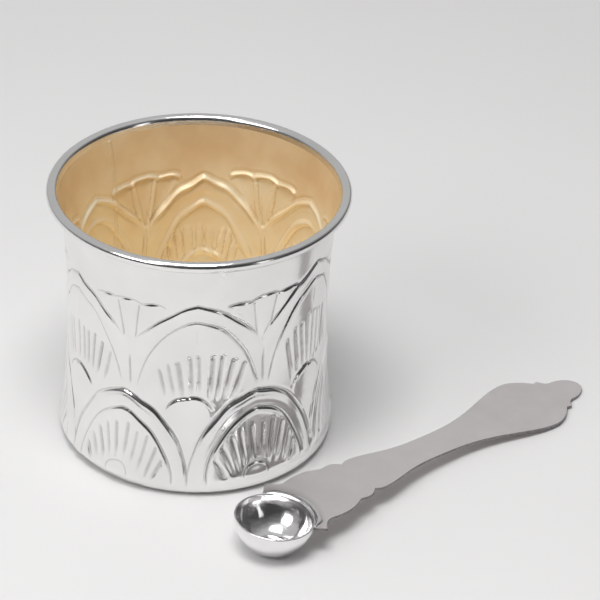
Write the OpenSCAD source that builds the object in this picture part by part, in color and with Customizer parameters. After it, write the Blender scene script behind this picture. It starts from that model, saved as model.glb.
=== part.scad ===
// Panchpatra: an embossed ritual water cup with its loose flat-handled spoon.
// Millimetres, +Z up. The origin is the centre of the cup's base, on the table.
// The cup's front faces -Y, and the spoon lies on the table in front of it.

/* [Cup] */
// Height of the cup, up to the top of its rolled rim
cup_height = 70; // [60:1:100]
// Outside diameter of the rolled rim
rim_diameter = 76; // [72:1:90]
// Outside diameter of the wall at its waist
waist_diameter = 64.6; // [56:0.2:68]
// Outside diameter of the wall where the foot starts to turn in
foot_diameter = 68.8; // [62:0.2:80]
// Height of the waist above the table
waist_height = 28; // [20:1:40]
// Thickness of the wall's sheet
wall_sheet = 0.55; // [0.4:0.05:1]
// Outside radius of the turned-in foot
foot_round = 3; // [2:0.25:5]
// Thickness of the base disc
base_sheet = 0.6; // [0.4:0.05:1.2]

/* [Rim] */
// Diameter of the wire that the rim is rolled over
wire_diameter = 1.7; // [1.2:0.1:3]
// Slit between the rolled edge and the wall below it
rim_slit = 0.4; // [0.2:0.1:0.8]

/* [Solder] */
// Direction of the wall's upright seam, turned from +X
seam_angle = 131; // [0:1:359]
// Width of the solder run along the seam
seam_width = 1.2; // [0.6:0.1:3]
// How far the seam's solder stands in from the wall
seam_rise = 0.25; // [0.1:0.05:0.6]
// Width of the base joint's fillet over the base disc
base_fillet_width = 1.6; // [0.8:0.1:3]
// How far the base joint's fillet climbs round the turned-in foot, in degrees
base_fillet_climb = 46; // [20:1:70]

/* [Spoon place] */
// Distance of the spoon's bowl to the right of the cup's axis
spoon_right = 19.5; // [0:0.5:60]
// Distance of the spoon's bowl in front of the cup's axis
spoon_front = 55.3; // [55:0.1:90]
// Turn of the spoon on the table, from +X towards +Y
spoon_turn = 41.8; // [0:0.2:45]
// Lean of the spoon about its own length, towards the front
spoon_lean = 4; // [0:0.5:7]

/* [Spoon bowl] */
// Outside diameter of the bowl at its rim
bowl_diameter = 20; // [18:0.5:24]
// Height of the bowl
bowl_height = 8.7; // [7:0.1:13]
// Diameter of the bowl's flat bottom
bowl_flat_diameter = 9; // [6:0.5:12]
// Height of the straight wall under the bowl's rim
bowl_straight = 1.4; // [1.2:0.1:3]
// Thickness of the bowl's sheet
bowl_sheet = 0.6; // [0.4:0.05:1]
// How far the bowl's rim stands above the handle
bowl_rim_rise = 0.5; // [0.3:0.1:1]
// Distance of the bowl's centre from the handle's centre line, towards the front
bowl_offset = 2.1; // [0:0.1:2.5]
// Width of the solder fillet over the handle, where it is widest
bowl_fillet_width = 2.4; // [1.5:0.1:3]
// Width of the solder fillet beside the horns
bowl_fillet_end = 0.6; // [0.4:0.1:1]
// Height of the solder fillet over the handle
bowl_fillet_height = 0.45; // [0.2:0.05:0.8]

/* [Spoon handle outline] */
// Thickness of the handle plate
plate_sheet = 0.6; // [0.4:0.05:0.9]
// Distance of the horn tips from the bowl's centre, along the handle
horn_reach = 8.3; // [7:0.1:10]
// Span across the two horn tips
horn_span = 23; // [22.6:0.2:27]
// Distance of the bowl's centre from the middle of the two horns, towards the front
horn_offset = 1.1; // [0:0.1:2]
// Length of the hollow behind the horns
hollow_length = 4.2; // [3:0.1:6]
// Width across the hollow's narrowest point
hollow_width = 17.7; // [17:0.1:18.2]
// Length of the first scallop
first_scallop_length = 11.8; // [9:0.1:14]
// Width across the first scallop's crest
first_scallop_width = 18.6; // [18.4:0.2:21]
// Width across the notch behind the first scallop
first_notch_width = 15; // [14:0.1:15.4]
// Length of the second scallop
second_scallop_length = 6.2; // [4.5:0.1:8]
// Width across the second scallop's crest
second_scallop_width = 15.6; // [15.4:0.2:18]
// Width across the notch behind the second scallop
second_notch_width = 12.1; // [11:0.1:13.4]
// Length of the lead from the second notch to the last crest
last_crest_length = 2.6; // [1.5:0.1:4]
// Width across the last crest
last_crest_width = 13.9; // [13.4:0.1:15]
// Length of the taper from the last crest to the neck
taper_length = 22; // [15:0.25:30]
// Width of the handle at its neck
neck_width = 8.6; // [6:0.1:12]
// Length of the swell from the neck to the leaf's widest point
swell_length = 36; // [25:0.5:45]
// Width of the leaf at its widest
leaf_width = 20.8; // [16:0.2:26]
// Length of the leaf from its widest point to its notch
leaf_end_length = 8.3; // [6:0.1:12]
// Width across the leaf's notch
leaf_notch_width = 12.5; // [11:0.1:13]
// Length from the leaf's notch to the barbs
barb_length = 1.4; // [0.8:0.1:2.5]
// Width across the barbs
barb_width = 13.1; // [13:0.1:15]
// Length of the hollow from the barbs to the tip's lobe
tip_hollow_length = 2.7; // [1.5:0.1:4]
// Width of the tip's lobe
tip_width = 8.6; // [7:0.1:11]
// Length of the tip's lobe
tip_length = 6.4; // [4:0.1:9]

/* [Hidden] */

$fn = 96;

// Steps along the wall's height, round the bowl's side and along a curve of the handle
wall_steps = 24;
bowl_steps = 12;
curve_steps = 8;

// Powers of the wall's curve below and above the waist
foot_power = 2;
flare_power = 3;
// Power of the bowl's side, between a cone's 1 and a round bowl's 2
bowl_power = 1.45;
// Slope of the horns' end edges to the handle's length
horn_slope = 40;
// Powers that shape the horn's hollow and the handle's long tapers
horn_power = 2.2;
taper_power = 1.5;
// Place of a scallop's crest along its length
crest_share = 0.4;
// Direction of the slit under the rolled rim, turned from the rim's outward side
slit_angle = 240;
// Clearance between the seam's solder and the wall's curved face
seam_clearance = 0.05;
// Length by which a cut runs past what it cuts
overcut = 1;

// Rolled rim: the sheet's outside radius round the wire, and the wire's centre
wire_r = wire_diameter / 2;
roll_r = wire_r + wall_sheet;
roll_centre_r = rim_diameter / 2 - roll_r;
roll_centre_z = cup_height - roll_r;

// Wall: radii at the waist, the foot and the rim, and the base joint's radius
waist_r = waist_diameter / 2;
foot_swell = foot_diameter / 2 - waist_r;
rim_flare = roll_centre_r - wire_r - waist_r;
joint_r = foot_diameter / 2 - foot_round;
foot_inside_r = foot_round - wall_sheet;

// Bowl, with the handle's top face at height 0 and the bowl's axis at X = 0
bowl_r = bowl_diameter / 2;
bowl_flat_r = bowl_flat_diameter / 2;
bowl_depth = bowl_height - bowl_rim_rise;
bowl_shoulder_z = bowl_rim_rise - bowl_straight;
bowl_curve_height = bowl_height - bowl_straight;

// Handle: distances of the outline's corners from the bowl's centre
hollow_at = horn_reach + hollow_length;
first_notch_at = hollow_at + first_scallop_length;
second_notch_at = first_notch_at + second_scallop_length;
last_crest_at = second_notch_at + last_crest_length;
neck_at = last_crest_at + taper_length;
leaf_at = neck_at + swell_length;
leaf_notch_at = leaf_at + leaf_end_length;
barb_at = leaf_notch_at + barb_length;
tip_at = barb_at + tip_hollow_length;
handle_reach = tip_at + tip_length;

// Depth of the bowl's flat bottom and of the handle's tip under the bowl's centre,
// with the spoon leaning and its tip pitched down
function bowl_low(pitch) =
    bowl_flat_r * norm([sin(pitch), sin(spoon_lean) * cos(pitch)])
    + bowl_depth * cos(spoon_lean) * cos(pitch);
function tip_low(pitch) =
    tip_at * sin(pitch)
    + norm([tip_length * sin(pitch), tip_width / 2 * sin(spoon_lean) * cos(pitch)])
    + (plate_sheet * cos(spoon_lean) - bowl_offset * sin(spoon_lean)) * cos(pitch);

// The tip drops until the bowl and the tip both touch the table: the pitch is halved in on
function rest_pitch(low, high, rounds) =
    let (middle = (low + high) / 2)
    rounds <= 0 ? middle
    : tip_low(middle) < bowl_low(middle) ? rest_pitch(middle, high, rounds - 1)
    : rest_pitch(low, middle, rounds - 1);
steepest_pitch = 20;
halving_rounds = 30;
spoon_pitch = rest_pitch(0, steepest_pitch, halving_rounds);
spoon_lift = bowl_low(spoon_pitch);

// Solder fillet: a low cone, set off from the bowl's axis towards the handle
fillet_r = bowl_r + (bowl_fillet_width + bowl_fillet_end) / 2;
fillet_shift = (bowl_fillet_width - bowl_fillet_end) / 2;

// Wall's outside radius at a height
function wall_r(z) =
    z < waist_height
        ? waist_r + foot_swell * pow((waist_height - z) / (waist_height - foot_round), foot_power)
        : waist_r + rim_flare * pow((z - waist_height) / (roll_centre_z - waist_height), flare_power);

// Heights of the wall's steps, from the foot to the rolled rim
wall_heights = [for (i = [0:wall_steps]) foot_round + (roll_centre_z - foot_round) * i / wall_steps];

// Points up the wall, set in from its outside by a depth
function wall_line(depth) = [for (z = wall_heights) [wall_r(z) - depth, z]];

// Points round the bowl's side, from its flat bottom up to its straight wall, set in by a depth
function bowl_line(depth) =
    [for (i = [0:bowl_steps])
        let (a = 90 * i / bowl_steps)
        [bowl_flat_r + (bowl_r - depth - bowl_flat_r) * pow(sin(a), 2 / bowl_power),
         bowl_shoulder_z - (bowl_curve_height - depth) * pow(cos(a), 2 / bowl_power)]];

function reversed(list) = [for (i = [len(list) - 1:-1:0]) list[i]];

// Slow start and slow end between 0 and 1
function ease(u) = u * u * (3 - 2 * u);

// Points from one corner of the handle's outline to the next, without the last one:
// a hump whose crest lies between its ends
function hump(from, to, crest_half) =
    let (crest = from[0] + (to[0] - from[0]) * crest_share)
    [for (i = [0:curve_steps - 1])
        let (s = from[0] + (to[0] - from[0]) * i / curve_steps)
        let (side = s < crest ? from : to)
        let (u = (s - crest) / (side[0] - crest))
        [s, crest_half - (crest_half - side[1]) * u * u]];

// a curve that starts steep and ends level
function settle(from, to, power) =
    [for (i = [0:curve_steps - 1])
        let (u = i / curve_steps)
        [from[0] + (to[0] - from[0]) * u, to[1] + (from[1] - to[1]) * pow(1 - u, power)]];

// a curve that starts level and ends steep
function drop(from, to, power) =
    [for (i = [0:curve_steps - 1])
        let (u = i / curve_steps)
        [from[0] + (to[0] - from[0]) * u, from[1] + (to[1] - from[1]) * pow(u, power)]];

// a long taper, slowest at its narrow end
function taper(wide, narrow) =
    [for (i = [0:curve_steps])
        let (u = i / curve_steps)
        [narrow[0] + (wide[0] - narrow[0]) * u,
         narrow[1] + (wide[1] - narrow[1]) * ease(pow(u, taper_power))]];

// Corners of one half of the handle, as distance along it and half width
horn_tip = [horn_reach, horn_span / 2];
hollow = [hollow_at, hollow_width / 2];
first_notch = [first_notch_at, first_notch_width / 2];
second_notch = [second_notch_at, second_notch_width / 2];
last_crest = [last_crest_at, last_crest_width / 2];
neck = [neck_at, neck_width / 2];
leaf = [leaf_at, leaf_width / 2];
leaf_notch = [leaf_notch_at, leaf_notch_width / 2];
barb = [barb_at, barb_width / 2];
tip = [tip_at, tip_width / 2];

// The horns' end edges are drawn from beside the bowl's centre, where the bowl cuts them off
horn_root = [0, horn_tip[1] - horn_reach * tan(horn_slope)];

// One half of the handle's outline, from the bowl to the tip
half_outline = concat(
    [horn_root],
    settle(horn_tip, hollow, horn_power),
    hump(hollow, first_notch, first_scallop_width / 2),
    hump(first_notch, second_notch, second_scallop_width / 2),
    settle(second_notch, last_crest, horn_power),
    reversed([for (p = taper(last_crest, neck)) if (p != neck) p]),
    taper(leaf, neck),
    [for (p = drop(leaf, leaf_notch, 2)) if (p != leaf) p],
    [leaf_notch],
    settle(barb, tip, horn_power),
    [for (i = [0:curve_steps])
        let (a = 90 * i / curve_steps)
        [tip[0] + tip_length * sin(a), tip[1] * cos(a)]]);

// Puts a piece of the spoon where it lies: the handle's top face from height 0,
// the bowl's centre at the origin and the tip along +X
module spoon_place() {
    translate([spoon_right, -spoon_front, spoon_lift])
        rotate([spoon_lean, spoon_pitch, spoon_turn])
            children();
}

// Distance of the handle's middle from the bowl's centre, at a distance along the handle
function middle_at(along) =
    let (u = max(0, min(1, (along - horn_reach) / (first_notch_at - horn_reach))))
    horn_offset + (bowl_offset - horn_offset) * u;

// Outline of the handle, beside the bowl's centre
module handle_outline() {
    polygon(concat(
        [for (p = half_outline) [p[0], middle_at(p[0]) + p[1]]],
        reversed([for (p = half_outline) if (p[0] < handle_reach) [p[0], middle_at(p[0]) - p[1]]])));
}

// Sheet wall of the cup: turned-in foot, waisted side and rolled rim
module cup_wall() {
    color("gainsboro")
        rotate_extrude() {
            polygon(concat(wall_line(0), reversed(wall_line(wall_sheet))));
            intersection() {
                translate([joint_r, foot_round])
                    difference() {
                        circle(r = foot_round);
                        circle(r = foot_inside_r);
                    }
                translate([joint_r, 0])
                    square(foot_round);
            }
            translate([roll_centre_r, roll_centre_z])
                difference() {
                    circle(r = roll_r);
                    circle(r = wire_r);
                    rotate(slit_angle)
                        translate([0, -rim_slit / 2])
                            square([roll_r + overcut, rim_slit]);
                }
        }
}

// Solder run over the wall's upright seam, inside the cup
module wall_seam() {
    seam_back = wall_sheet + seam_clearance;
    color("burlywood")
        intersection() {
            rotate_extrude()
                polygon(concat(wall_line(seam_back), reversed(wall_line(seam_back + seam_rise))));
            rotate([0, 0, seam_angle])
                translate([0, -seam_width / 2, 0])
                    cube([rim_diameter / 2, seam_width, cup_height]);
        }
}

// Wire ring that stiffens the rolled rim
module rim_wire() {
    color("darkgray")
        rotate_extrude()
            translate([roll_centre_r, roll_centre_z])
                circle(r = wire_r);
}

// Flat bottom of the cup, let into the turned-in foot
module base_disc() {
    color("silver")
        cylinder(r = joint_r, h = base_sheet);
}

// Solder fillet round the inside of the base joint
module base_solder() {
    top = [joint_r + foot_inside_r * sin(base_fillet_climb),
           foot_round - foot_inside_r * cos(base_fillet_climb)];
    inner_r = joint_r - base_fillet_width;
    color("tan")
        rotate_extrude()
            difference() {
                intersection() {
                    polygon([[inner_r, 0], [inner_r, base_sheet], top, [top[0], 0]]);
                    union() {
                        translate([joint_r, foot_round])
                            circle(r = foot_inside_r);
                        translate([inner_r, 0])
                            square([base_fillet_width, foot_round]);
                    }
                }
                translate([inner_r - overcut, -overcut])
                    square([base_fillet_width + overcut, base_sheet + overcut]);
            }
}

// Spun bowl of the spoon, with a flat bottom
module spoon_bowl() {
    color("whitesmoke")
        spoon_place()
            rotate_extrude()
                polygon(concat(
                    [[0, -bowl_depth]],
                    bowl_line(0),
                    [[bowl_r, bowl_rim_rise], [bowl_r - bowl_sheet, bowl_rim_rise]],
                    reversed(bowl_line(bowl_sheet)),
                    [[0, bowl_sheet - bowl_depth]]));
}

// Flat cut-out handle whose horns clasp the bowl
module spoon_handle() {
    color("darkgray")
        spoon_place()
            difference() {
                translate([0, 0, -plate_sheet])
                    linear_extrude(plate_sheet)
                        handle_outline();
                translate([0, 0, -plate_sheet - overcut])
                    cylinder(r = bowl_r, h = plate_sheet + 2 * overcut);
            }
}

// Crescent of solder on the handle, against the back of the bowl
module spoon_solder() {
    color("lightgray")
        spoon_place()
            intersection() {
                difference() {
                    translate([fillet_shift, 0, 0])
                        cylinder(r1 = fillet_r, r2 = fillet_r - bowl_fillet_end, h = bowl_fillet_height);
                    translate([0, 0, -overcut])
                        cylinder(r = bowl_r, h = bowl_fillet_height + 2 * overcut);
                }
                linear_extrude(bowl_fillet_height)
                    handle_outline();
            }
}

cup_wall();
wall_seam();
rim_wire();
base_disc();
base_solder();
spoon_bowl();
spoon_handle();
spoon_solder();
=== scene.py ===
"""Looks of the panchpatra: a chased silver cup, gilt inside, and its loose spoon."""

import math
import random
from collections import namedtuple

import bmesh
import bpy
import numpy as np
from mathutils import Euler, Matrix, Vector


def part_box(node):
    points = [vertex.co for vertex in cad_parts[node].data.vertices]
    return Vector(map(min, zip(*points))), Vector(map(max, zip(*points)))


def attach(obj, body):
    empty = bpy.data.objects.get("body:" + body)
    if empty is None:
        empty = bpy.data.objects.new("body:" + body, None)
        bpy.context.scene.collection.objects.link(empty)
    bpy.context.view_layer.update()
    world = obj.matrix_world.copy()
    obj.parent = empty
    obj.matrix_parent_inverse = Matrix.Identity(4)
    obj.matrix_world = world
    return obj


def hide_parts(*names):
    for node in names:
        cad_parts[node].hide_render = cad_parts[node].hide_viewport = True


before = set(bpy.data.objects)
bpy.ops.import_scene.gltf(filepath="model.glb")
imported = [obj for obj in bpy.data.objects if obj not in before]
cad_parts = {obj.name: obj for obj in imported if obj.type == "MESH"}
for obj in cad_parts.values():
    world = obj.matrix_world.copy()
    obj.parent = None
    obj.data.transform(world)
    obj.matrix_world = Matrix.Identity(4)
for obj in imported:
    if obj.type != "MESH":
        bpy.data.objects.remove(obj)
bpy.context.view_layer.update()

Arch = namedtuple("Arch", "reach spring rise power point")
Bars = namedtuple("Bars", "centre spacing count start start_fall stop stop_fall half_width depth seed")
Hand = namedtuple("Hand", "press light worn bold front_left")
Line = namedtuple("Line", "half_width depth")
Moon = namedtuple("Moon", "x z r")
Rise = namedtuple("Rise", "height over")
Spot = namedtuple("Spot", "which share half x z")
Waves = namedtuple("Waves", "count most_turns most_climb")

MM = 0.001
SEED = 7

# Cup, in millimetres: what the frame shows is read from it, the rest is as in the CAD source
wall_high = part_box("cup_wall")[1]
disc_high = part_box("base_disc")[1]
wire_low, wire_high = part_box("rim_wire")
CUP_HEIGHT = wall_high.z / MM
WIRE_R = (wire_high.z - wire_low.z) / 2 / MM
ROLL_Z = (wire_high.z + wire_low.z) / 2 / MM
ROLL_R = CUP_HEIGHT - ROLL_Z
ROLL_CENTRE_R = wire_high.x / MM - WIRE_R
ROLL_FROM = -118
ROLL_TO = 176
WALL_SHEET = ROLL_R - WIRE_R
JOINT_R = disc_high.x / MM
BASE_SHEET = disc_high.z / MM
FOOT_ROUND = 3.0
FOOT_R = JOINT_R + FOOT_ROUND
WAIST_R = 32.3
WAIST_HEIGHT = 28.0
FOOT_POWER = 2
FLARE_POWER = 3

# Mesh of the wall: columns, heights between stretches, and rows up the outside and down the inside
COLUMNS = 860
FOOT_ROWS = 7
PATTERN_TOP = 60.0
NECK_TOP = ROLL_Z - 1.0
INSIDE_TOP = ROLL_Z - 0.9
CHASED_ROWS = 191
NECK_ROWS = 7
ROLL_ROWS = 16
INSIDE_NECK_ROWS = 5
INSIDE_UPPER_ROWS = 131
INSIDE_LOWER_ROWS = 70
INSIDE_FOOT_ROWS = 6

# Inside of the wall: ridges broader and higher than the lines outside, more sheet low down,
# and gilding painted deeper towards the neck and paler below it, as painted light and shade
BACK_BREADTH = 3.5
BACK_DEPTH = 2.4
LEAST_SHEET = 0.3
LOW_EXTRA = 0.3
LOW_EXTRA_BELOW = (32, 6)
HOLLOW_FULL = 2.5
GILT_DEEPENS = (52 * MM, 62 * MM)

# Base and solder of the cup
BASE_DOME = 0.25
BASE_HOLLOW = 0.12
BASE_HOLLOW_WITHIN = (JOINT_R - 2.5, 3.0)
BASE_GAP = 0.05
BASE_CHAMFER = 0.3
BASE_LUMPS = 0.03
BASE_LUMPS_FROM = 12
BASE_WAVES = Waves(5, 9, 0.6)
BASE_TOP_STEPS = 40
BASE_BOTTOM_STEPS = 20
BASE_COLUMNS = 144
LATHE_RINGS = 0.02
LATHE_WAVE = 4.2
GILT_ABOVE = 0.4
BASE_FILLET_WIDTH = 1.6
BASE_FILLET_CLIMB = 46
BASE_FILLET_SAG = 0.12
BASE_FILLET_SAG_OUT = 0.3
BASE_FILLET_SINK = 0.05
BASE_FILLET_BACK = 0.1
BASE_FILLET_STEPS = 8
BASE_FILLET_COLUMNS = 180
BASE_FILLET_DULL = 0.3
BASE_FILLET_LUMPS = 0.05
BASE_FILLET_WAVES = Waves(6, 24, 0.8)
SEAM_TURN = -139.0
SEAM_WIDTH = 1.2
SEAM_VARIES = 0.16
SEAM_WAVES = (1.9, 0.7)
SEAM_RISE = 0.16
SEAM_LEAST = 0.03
SEAM_ROWS = 120
SEAM_ACROSS = 9
SEAM_DULL = 0.35

# Spoon: its place, bowl, solder and plate
SPOON_RIGHT = 19.5
SPOON_FRONT = 55.3
SPOON_TURN = 41.8
SPOON_LEAN = math.radians(4.0)
MOST_PITCH = math.radians(20)
BOWL_R = 10.0
BOWL_HEIGHT = 8.7
BOWL_FLAT_R = 4.5
BOWL_STRAIGHT = 1.4
BOWL_POWER = 1.45
BOWL_SHEET = 0.5
BOWL_RIM_RISE = 0.5
BOWL_OFFSET = 2.1
BOWL_LUMPS = 0.03
BOWL_WAVES = Waves(5, 7, 0.5)
BOWL_COLUMNS = 144
BOWL_STEPS = 16
STRAIGHT_STEPS = 4
LIP_POINTS = 9
INNER_FLAT_R = 3.5
FLOOR_RINGS = (*np.linspace(3.2, 1.2, 6), *np.linspace(1.0, 0.0, 6))
LATHE_RING_R = 2.4
LATHE_RING = Line(0.8, 0.08)
LATHE_CENTRE = Line(0.95, 0.22)
BOWL_FILLET_WIDTH = 2.4
BOWL_FILLET_END = 0.6
BOWL_FILLET_HEIGHT = 0.75
BOWL_FILLET_SINK = 0.05
BEAD_STEPS = 90
BEAD_ACROSS = 13
BEAD_INSET = 0.03
BEAD_ENDS_OVER = 0.3
BEAD_END_WIDTH = 0.3
BEAD_END_HEIGHT = 0.5
BEAD_START = 0.2
BEAD_POWER = 0.8
PLATE_SHEET = 0.6
PLATE_EDGE = 0.1

# Painted shade on the handle, round the bowl and towards the cup, in place of the shade and dark reflection
# there
PAINTED_SHADE_CENTRE = ((SPOON_RIGHT - 1.0) * MM, (1.6 - SPOON_FRONT) * MM, 8.6 * MM)
PAINTED_SHADE_REACH = 15 * MM

# Corners of half the handle's outline: distance from the bowl's centre and half width
HORN_TIP = (8.3, 11.5)
HORN_SLOPE = 40.0
HORN_OFFSET = 1.1
HOLLOW = (12.5, 8.85)
FIRST_NOTCH = (24.3, 7.5)
SECOND_NOTCH = (30.5, 6.05)
LAST_CREST = (33.1, 6.95)
NECK = (55.1, 4.3)
LEAF = (91.1, 10.4)
LEAF_NOTCH = (99.4, 6.25)
BARB = (100.8, 6.55)
TIP = (103.5, 4.3)
TIP_LENGTH = 6.4
FIRST_CREST_HALF = 9.3
SECOND_CREST_HALF = 7.8
CREST_SHARE = 0.4
HORN_POWER = 2.2
TAPER_POWER = 1.5
CURVE_STEPS = 18
CLASP_STEPS = 60
EDGE_STEPS = 3
SHARPEST_FOLD = 0.2

# Chased pattern, in degrees round from the front and millimetres up:
# two tiers of petals with fans between the upper ones, uneven as by hand, and higher on the right
LOW_CENTRES = (-153.0, -93.0, -33.8, 27.6, 88.0, 147.5)
LOW_LIFTS = (0.3, -0.3, 0.0, 0.2, -0.4, 0.2)
LOW_R = 34.0
LOW_FLANK = (0.1, 0.3)
MID_CENTRES = (-126.5, -62.0, 0.5, 60.0, 119.5, 178.0)
MID_LIFTS = (-0.6, -0.4, 0.0, 2.0, -0.8, -2.0)
MID_LIFTS_FROM = (30, 14)
MID_REACHES = (0.86, 0.9, 0.905, 0.9, 0.86, 0.78)
MID_RISES = (22.0, 22.8, 22.8, 22.8, 22.0, 20.6)
MID_R = 32.6
PETALS = len(LOW_CENTRES)
PATTERN_TILT = 1.5
PLAIN_BAND = (2.4, 2.6)
CHASED_SPAN = (0.4, FOOT_ROUND, ROLL_Z - 1.2, 5.0)

# The hand that chased it: lightly at the front left, boldly at the right, and worn at the far right.
# Each stretch is given as where it starts, over how many degrees, where it stops, and over how many
WARP = 0.2
WARP_WAVES = Waves(5, 40, 0.35)
DINGS = 0.05
DING_WAVES = Waves(8, 14, 0.22)
PRESS = 0.85
PRESS_VARIES = 0.13
PRESS_WAVES = Waves(4, 20, 0.25)
PRESS_TO_RIGHT = 0.14
FRONT_LEFT = (-85, 15, 15, 25)
RIGHT = (25, 20, 90, 25)
FAR_RIGHT = (60, 12, 125, 20)
LIGHTER = 0.35
FLANK_LIGHTER = 0.55
MOON_LIGHTER = 0.6
BOLDER = 0.7
WORN = 0.65

# A chased line's shift on the back of the sheet and its burrs, as shares of its half width and depth,
# and how dark what is pressed is painted beside such a line, partly as tarnish and partly as painted shade
BACK_SHIFT = 0.7
BURR_AT = 1.6
BURR_HALF = 0.9
BURR_RISE = 0.25
PRESS_DARK = 0.75

# Lower petals
LOW_SPRING = 6.0
LOW_APEX = 28.1
LOW_OUT = Arch(reach=1.0, spring=LOW_SPRING, rise=LOW_APEX - LOW_SPRING, power=1.5, point=3.0)
LOW_IN = Arch(reach=0.757, spring=LOW_SPRING, rise=16.9, power=1.4, point=2.4)
LOW_OUT_LINE = Line(0.52, 0.5)
LOW_IN_LINE = Line(0.5, 0.42)
LOW_PETAL_RISE = Rise(0.45, 2.6)
LOW_BAND_RISE = 0.32
LOW_FIELD_RISE = Rise(0.22, 2.0)
LOW_MOON = Moon(-0.8, 4.7, 3.3)
LOW_MOON_LINE = Line(0.45, 0.18)
LOW_MOON_FROM = (3.6, 1.0)
LOW_MOON_RISE = Rise(0.15, 3.0)
LOW_BARS = Bars((0.0, -14.0), 5.6, 10, 22.2, 0.13, 33.2, 0.0088, 1.0, 0.46, SEED + 4)
LOW_BARS_IN = (0.9, 0.6)
LOW_BARS_OFF_MOON = (0.2, 1.2)

# Half-moons between the lower petals, higher at the back
MOON = Moon(0.0, 22.0, 6.6)
MOON_LINE = Line(0.48, 0.42)
MOON_LINE_FROM = (24.4, 1.6)
MOON_RISE = 0.4
MOON_FLAT = 0.75
BACK_MOON_LIFT = 3.2
BACK_MOON_FROM = (150, 15)

# Middle petals
MID_SPRING = 28.0
MID_APEX = 55.7
MID_SLOPE = 5.4
MID_CURVE = 8.2
MID_POWER = 1.35
MID_POINT = 2.2
MID_OUT_LINE = Line(0.45, 0.36)
MID_OUT_SIDE = (0.96, 0.22)
MID_IN_LINE = Line(0.45, 0.36)
MID_IN_FROM = (29, 5)
MID_PETAL_RISE = Rise(0.2, 3.0)
MID_BAND_RISE = 0.3
MID_BAND_FROM = (30, 12)
MID_FIELD_RISE = Rise(0.2, 2.0)
MID_BARS = Bars((0.9, -10.0), 3.15, 9, 38.8, 0.08, 51.3, 0.013, 0.98, 0.5, SEED + 5)
MID_BARS_IN = (0.7, 0.6)
MID_CREASE = Line(0.6, 0.2)
MID_CREASE_SPAN = (29, 3, 41, 4)
MID_MARK = Line(0.4, 0.09)
MID_MARK_LEFT = 0.2
MID_MARK_SHARE = 0.5
MID_MARK_SPAN = (43, 1.5, 49.5, 1.5)

# Bars inside the petals: how far each may be off by hand, and how its ends run out
BAR_TURNS = 0.6
BAR_STARTS = 0.5
BAR_STOPS = 0.6
BAR_WEAKEST = 0.7
BAR_FOOT = 5.2
BAR_HEAD = 2.2
HEAD_FALL = 0.07
PAST_FOOT = 0.8
PAST_HEAD = 0.6

# Three-lobed fans between the middle petals
LOBE_R = 7.5
FAN_LOBES = ((-6.2, 55.1), (0.0, 55.9), (6.2, 55.3))
FAN_LINE = Line(0.4, 0.28)
FAN_LINE_FROM = (50.8, 1.2)
FAN_LINE_SIDE = (10.2, 0.8)
FAN_BROADENS = 0.3
FAN_RISE = 0.16
FAN_EDGE = 1.2
FAN_HALF = (1.9, 4.3)
FAN_OPENS = (41, 14)
FAN_FLUTES = (1.7, 0.3)
FAN_DIVIDES = (((-1.6, 44.2), (-3.1, 53.9)), ((1.6, 44.6), (3.1, 54.3)))
FAN_DIVIDE = Line(0.42, 0.22)

# How far one tier laps over the outline that it shares with the next,
# and how fast the bands turn over, to stand up on the back of the sheet too
TIER_LAP = (0.5, 1.0)
BAND_TURNS_OVER = 0.7


def smooth(t):
    t = np.clip(t, 0.0, 1.0)
    return t * t * (3 - 2 * t)


def rises(value, start, over):
    """0 up to a start, and 1 from some way past it."""
    return smooth((value - start) / over)


def falls(value, stop, over):
    """1 until some way before a stop, and 0 from there on."""
    return smooth((stop - value) / over)


def within(value, start, start_over, stop, stop_over):
    """1 inside a stretch, fading to 0 at both its ends."""
    return rises(value, start, start_over) * falls(value, stop, stop_over)


def dent(distance, half_width):
    """A round-bottomed dent: 1 on the line, 0 from half_width away."""
    t = np.clip(np.abs(distance) / half_width, 0.0, 1.0)
    return (1 - t * t) ** 2


def unevenness(turn, z, seed, waves):
    """Smooth seeded unevenness round the cup, about -1 to 1."""
    dice = random.Random(seed)
    total = np.zeros(np.broadcast(turn, z).shape)
    for _ in range(waves.count):
        around = dice.randint(1, waves.most_turns)
        up = dice.uniform(-waves.most_climb, waves.most_climb)
        total += np.sin(np.radians(turn) * around + z * up + dice.uniform(0, 2 * math.pi))
    return total / math.sqrt(waves.count)


def halved(holds, low, high):
    """Highest value between two for which something still holds, found by halving."""
    for _ in range(40):
        middle = (low + high) / 2
        if holds(middle):
            low = middle
        else:
            high = middle
    return low


def petal_place(turn, centres):
    """Petal at each turn, share of the way to its neighbour (-1 to 1), and half width in radians."""
    centres = np.array(centres)
    offset = (turn[..., None] - centres + 180) % 360 - 180
    which = np.abs(offset).argmin(-1)
    offset = np.take_along_axis(offset, which[..., None], -1)[..., 0]
    gaps = (np.roll(centres, -1) - centres) % 360
    half = np.where(offset > 0, gaps[which], np.roll(gaps, 1)[which]) / 2
    return which, offset / half, np.radians(half)


def arch_distance(spot, arch):
    """Signed distance from a pointed arch, negative inside it."""
    side = np.abs(spot.share)
    z = spot.z + arch.point * side * np.clip(1 - side, 0, 1) ** 3
    up = np.clip(z - arch.spring, 0, None) / arch.rise
    level = (side / arch.reach) ** 2 + up**arch.power - 1
    slope_x = 2 * side / arch.reach**2 / spot.half
    slope_z = arch.power * np.clip(up, 0.001, None) ** (arch.power - 1) / arch.rise
    return level / np.sqrt(slope_x**2 + slope_z**2)


def band_hump(inner, outer):
    """Hump across the band between two outlines: 1 in its middle, 0 at its edges and beyond."""
    across = np.clip(inner / np.clip(inner - outer, 0.01, None), 0, 1)
    return 4 * across * (1 - across) * (inner > 0)


def bar_distance(x, z, low, high):
    """Distance from the straight line between two points."""
    run = high[0] - low[0]
    climb = high[1] - low[1]
    t = np.clip(((x - low[0]) * run + (z - low[1]) * climb) / (run**2 + climb**2), 0.0, 1.0)
    return np.hypot(x - low[0] - t * run, z - low[1] - t * climb)


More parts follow.
